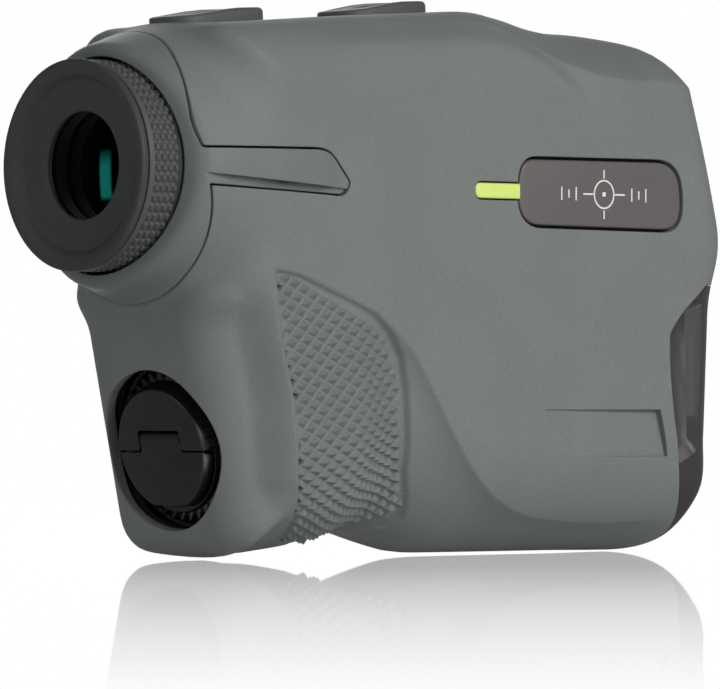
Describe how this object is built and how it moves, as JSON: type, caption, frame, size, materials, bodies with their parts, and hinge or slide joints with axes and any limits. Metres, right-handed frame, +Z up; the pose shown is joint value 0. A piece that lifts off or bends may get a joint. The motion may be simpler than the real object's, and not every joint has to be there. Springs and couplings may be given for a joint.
{
  "type": "laser rangefinder",
  "caption": "Handheld laser rangefinder: rubber-armoured monocular with twist-up eyecup, dioptre ring, two top buttons, side grips and a screw battery cap with fold-out flap.",
  "frame": {"origin": "under the middle of the body, on the surface it stands on", "axes": "+X towards the target, +Y to the user's left, +Z up"},
  "size_m": [0.1106, 0.0394, 0.0793],
  "materials": {
    "armour": "fine matte texture",
    "collar": "fine spark-eroded texture",
    "housing": "moulded",
    "bezel": "satin",
    "plate": "satin",
    "accent": "translucent lime",
    "eyecup": "soft matte",
    "ring": "knurled",
    "button": "fine grain",
    "cap": "matte with polished teeth",
    "optic_metal": "black anodised",
    "glass": "multi-coated",
    "filter_glass": "infrared pass",
    "board": "solder mask",
    "chip": "moulded",
    "steel": "plated",
    "seal": "soft",
    "cell_label": "shrink sleeve"
  },
  "bodies": {
    "body": {"rubber_armour": "armour", "eyepiece_collar": "collar", "right_housing": "housing", "left_housing": "housing", "receiver_baffle": "housing", "battery_tube": "housing", "front_bezel": "bezel", "right_side_plate": "plate", "left_side_plate": "plate", "right_accent_bar": "accent", "left_accent_bar": "accent", "eyepiece_base": "optic_metal", "objective_cell": "optic_metal", "objective_retaining_ring": "optic_metal", "prism_housing": "optic_metal", "laser_holder": "optic_metal", "receiver_cell": "optic_metal", "receiver_retaining_ring": "optic_metal", "storage_capacitor": "optic_metal", "objective_front_lens": "glass", "objective_rear_lens": "glass", "half_prism": "glass", "roof_prism": "glass", "display_lens": "glass", "receiver_lens": "glass", "receiver_filter": "filter_glass", "main_board": "board", "button_board": "board", "detector_board": "board", "processor": "chip", "oled_display": "chip", "mode_switch": "chip", "power_switch": "chip", "housing_screw_1": "steel", "housing_screw_2": "steel", "housing_screw_3": "steel", "housing_screw_4": "steel", "laser_diode": "steel", "detector": "steel", "battery_spring": "steel", "mode_button_seal": "seal", "power_button_seal": "seal"},
    "diopter": {"diopter_ring": "ring"},
    "ocular": {"ocular_barrel": "optic_metal", "ocular_retaining_ring": "optic_metal", "eye_lens": "glass", "ocular_spacer": "optic_metal", "field_lens": "glass", "ocular_o_ring": "seal"},
    "eyecup_slider": {"eyecup_sleeve": "housing"},
    "eyecup": {"eyecup": "eyecup"},
    "power_button": {"power_button": "button"},
    "mode_button": {"mode_button": "button"},
    "cap_seal": {"cap_o_ring": "seal"},
    "battery_cap": {"battery_cap": "cap", "cap_contact": "steel", "cap_flap_pin": "steel"},
    "cap_flap": {"cap_flap": "cap"},
    "battery": {"battery": "cell_label"}
  },
  "joints": [
    {"name": "diopter_turn", "type": "hinge", "parent": "body", "child": "diopter", "pos_m": [-0.0493, 0, 0.05415], "axis": [1, 0, 0], "range_deg": [-60, 60]},
    {"name": "ocular_focus", "type": "slide", "parent": "body", "child": "ocular", "axis": [1, 0, 0], "range_m": [-0.001, 0.001]},
    {"name": "eyecup_extend", "type": "slide", "parent": "diopter", "child": "eyecup_slider", "axis": [-1, 0, 0], "range_m": [0, 0.005]},
    {"name": "eyecup_twist", "type": "hinge", "parent": "eyecup_slider", "child": "eyecup", "pos_m": [-0.0553, 0, 0.05415], "axis": [1, 0, 0], "range_deg": [0, 90]},
    {"name": "power_press", "type": "slide", "parent": "body", "child": "power_button", "axis": [0, 0, -1], "range_m": [0, 0.0008], "stiffness_N_per_m": 1500},
    {"name": "mode_press", "type": "slide", "parent": "body", "child": "mode_button", "axis": [0, 0, -1], "range_m": [0, 0.0008], "stiffness_N_per_m": 1500},
    {"name": "cap_pull", "type": "slide", "parent": "body", "child": "cap_seal", "axis": [-0.9767, 0, -0.2147], "range_m": [0, 0.014]},
    {"name": "cap_turn", "type": "hinge", "parent": "cap_seal", "child": "battery_cap", "pos_m": [-0.03705, 0, 0.01543], "axis": [-0.9767, 0, -0.2147], "range_deg": [-90, 0]},
    {"name": "flap_fold", "type": "hinge", "parent": "battery_cap", "child": "cap_flap", "pos_m": [-0.03791, 0, 0.01657], "axis": [0, 1, 0], "range_deg": [0, 90]},
    {"name": "battery_slide", "type": "slide", "parent": "body", "child": "battery", "axis": [-0.9767, 0, -0.2147], "range_m": [0, 0.0085]}
  ],
  "couplings": [
    {"joint": "diopter_turn", "follows": "ocular_focus", "rad_per_m": 1047.1},
    {"joint": "eyecup_twist", "follows": "eyecup_extend", "rad_per_m": 314.16},
    {"joint": "battery_slide", "follows": "cap_pull", "ratio": 0.6}
  ]
}
